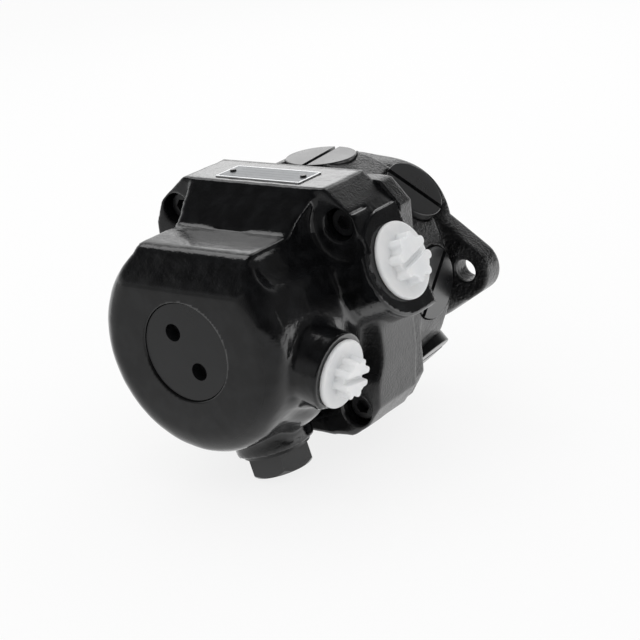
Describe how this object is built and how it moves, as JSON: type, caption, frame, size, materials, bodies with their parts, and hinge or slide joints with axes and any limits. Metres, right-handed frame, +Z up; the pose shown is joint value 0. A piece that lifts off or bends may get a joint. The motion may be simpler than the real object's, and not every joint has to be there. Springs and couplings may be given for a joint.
{
  "type": "tandem hydraulic steering pump",
  "caption": "Flange-mounted black cast-iron tandem steering pump: vane stage in the rear, radial-piston stage at the drive end, two capped radial ports, stepped keyed shaft.",
  "frame": {"origin": "centre of the mounting face on the shaft axis", "axes": "+Y along the shaft towards the drive end, +Z up through the name plate, +X towards the ports' side"},
  "size_m": [0.1497, 0.184, 0.1291],
  "materials": {
    "casting_paint": "gloss black paint on rough cast iron",
    "dark_steel": "satin black",
    "plate_metal": "satin",
    "white_plastic": "natural translucent white",
    "seal_rubber": "matt",
    "soft_metal": "plain",
    "bright_steel": "ground",
    "bronze": "lapped bronze face",
    "cage_brass": "plain",
    "spring_steel": "oiled"
  },
  "bodies": {
    "housing": {"rear_housing": "casting_paint", "front_housing": "casting_paint", "rear_end_plug": "dark_steel", "end_plug_ring": "seal_rubber", "housing_bolts": "dark_steel", "name_plate": "plate_metal", "plate_rivets": "dark_steel", "valve_hex_plug": "dark_steel", "valve_plug_ring": "soft_metal", "valve_spring": "spring_steel", "cam_ring": "bright_steel", "rear_side_plate": "bronze", "front_side_plate": "bronze", "dowel_pins": "bright_steel", "disc_spring": "spring_steel", "housing_seal": "seal_rubber", "rear_needle_bush": "bright_steel", "front_needle_bush": "bright_steel", "piston_springs": "spring_steel", "slotted_plugs": "dark_steel", "plug_seals": "seal_rubber", "bearing_outer_race": "bright_steel", "bearing_circlip": "spring_steel", "shaft_seal": "seal_rubber"},
    "shaft": {"drive_shaft": "bright_steel", "rotor": "bright_steel", "shaft_key": "bright_steel", "bearing_inner_race": "bright_steel"},
    "cage": {"bearing_cage": "cage_brass", "bearing_balls": "bright_steel"},
    "ring": {"eccentric_ring": "bright_steel"},
    "suction_cap": {"suction_port_cap": "white_plastic"},
    "pressure_cap": {"pressure_port_cap": "white_plastic"},
    "valve": {"valve_spool": "bright_steel"},
    "vane_01": {"vane_01": "bright_steel"},
    "vane_02": {"vane_02": "bright_steel"},
    "vane_03": {"vane_03": "bright_steel"},
    "vane_04": {"vane_04": "bright_steel"},
    "vane_05": {"vane_05": "bright_steel"},
    "vane_06": {"vane_06": "bright_steel"},
    "vane_07": {"vane_07": "bright_steel"},
    "vane_08": {"vane_08": "bright_steel"},
    "vane_09": {"vane_09": "bright_steel"},
    "vane_10": {"vane_10": "bright_steel"},
    "piston_1": {"piston_1": "bright_steel"},
    "piston_2": {"piston_2": "bright_steel"},
    "piston_3": {"piston_3": "bright_steel"},
    "piston_4": {"piston_4": "bright_steel"},
    "piston_5": {"piston_5": "bright_steel"},
    "piston_6": {"piston_6": "bright_steel"},
    "piston_7": {"piston_7": "bright_steel"},
    "piston_8": {"piston_8": "bright_steel"}
  },
  "joints": [
    {"name": "shaft_spin", "type": "hinge", "parent": "housing", "child": "shaft", "pos_m": [0, 0, 0], "axis": [0, 1, 0], "continuous": true},
    {"name": "cage_spin", "type": "hinge", "parent": "housing", "child": "cage", "pos_m": [0, 0, 0], "axis": [0, 1, 0], "continuous": true},
    {"name": "ring_spin", "type": "hinge", "parent": "shaft", "child": "ring", "pos_m": [0.00277, 0, 0.00115], "axis": [0, 1, 0], "continuous": true},
    {"name": "vane_01_slide", "type": "slide", "parent": "shaft", "child": "vane_01", "axis": [1, 0, 0], "range_m": [-0.001, 0.00321]},
    {"name": "vane_02_slide", "type": "slide", "parent": "shaft", "child": "vane_02", "axis": [0.809, 0, 0.5878], "range_m": [-0.001, 0.00196]},
    {"name": "vane_03_slide", "type": "slide", "parent": "shaft", "child": "vane_03", "axis": [0.309, 0, 0.9511], "range_m": [-0.001, 0.00041]},
    {"name": "vane_04_slide", "type": "slide", "parent": "shaft", "child": "vane_04", "axis": [-0.309, 0, 0.9511], "range_m": [-0.001, 0.00041]},
    {"name": "vane_05_slide", "type": "slide", "parent": "shaft", "child": "vane_05", "axis": [-0.809, 0, 0.5878], "range_m": [-0.001, 0.00196]},
    {"name": "vane_06_slide", "type": "slide", "parent": "shaft", "child": "vane_06", "axis": [-1, 0, 0], "range_m": [-0.001, 0.00321]},
    {"name": "vane_07_slide", "type": "slide", "parent": "shaft", "child": "vane_07", "axis": [-0.809, 0, -0.5878], "range_m": [-0.001, 0.00196]},
    {"name": "vane_08_slide", "type": "slide", "parent": "shaft", "child": "vane_08", "axis": [-0.309, 0, -0.9511], "range_m": [-0.001, 0.00041]},
    {"name": "vane_09_slide", "type": "slide", "parent": "shaft", "child": "vane_09", "axis": [0.309, 0, -0.9511], "range_m": [-0.001, 0.00041]},
    {"name": "vane_10_slide", "type": "slide", "parent": "shaft", "child": "vane_10", "axis": [0.809, 0, -0.5878], "range_m": [-0.001, 0.00196]},
    {"name": "piston_1_slide", "type": "slide", "parent": "housing", "child": "piston_1", "axis": [-1, 0, 0], "range_m": [0, 0.0002]},
    {"name": "piston_2_slide", "type": "slide", "parent": "housing", "child": "piston_2", "axis": [-0.7314, 0, -0.682], "range_m": [0, 0.00016]},
    {"name": "piston_3_slide", "type": "slide", "parent": "housing", "child": "piston_3", "axis": [0, 0, -1], "range_m": [0, 0.00182]},
    {"name": "piston_4_slide", "type": "slide", "parent": "housing", "child": "piston_4", "axis": [0.682, 0, -0.7314], "range_m": [0, 0.00192]},
    {"name": "piston_5_slide", "type": "slide", "parent": "housing", "child": "piston_5", "axis": [1, 0, 0], "range_m": [0, 0.0002]},
    {"name": "piston_6_slide", "type": "slide", "parent": "housing", "child": "piston_6", "axis": [0.7314, 0, 0.682], "range_m": [0, 0.00016]},
    {"name": "piston_7_slide", "type": "slide", "parent": "housing", "child": "piston_7", "axis": [0, 0, 1], "range_m": [0, 0.00182]},
    {"name": "piston_8_slide", "type": "slide", "parent": "housing", "child": "piston_8", "axis": [-0.682, 0, 0.7314], "range_m": [0, 0.00192]},
    {"name": "valve_slide", "type": "slide", "parent": "housing", "child": "valve", "axis": [0.2588, 0, -0.9659], "range_m": [0, 0.008], "stiffness_N_per_m": 2000, "springref_m": -0.006, "deforming": ["valve_spring"]},
    {"name": "suction_cap_pull", "type": "slide", "parent": "housing", "child": "suction_cap", "axis": [0.9385, 0, 0.3453], "range_m": [0, 0.03]},
    {"name": "pressure_cap_pull", "type": "slide", "parent": "housing", "child": "pressure_cap", "axis": [0.9854, 0, -0.1702], "range_m": [0, 0.03]}
  ],
  "couplings": [
    {"joint": "cage_spin", "follows": "shaft_spin", "ratio": 0.3987},
    {"joint": "ring_spin", "follows": "shaft_spin", "ratio": -1}
  ]
}
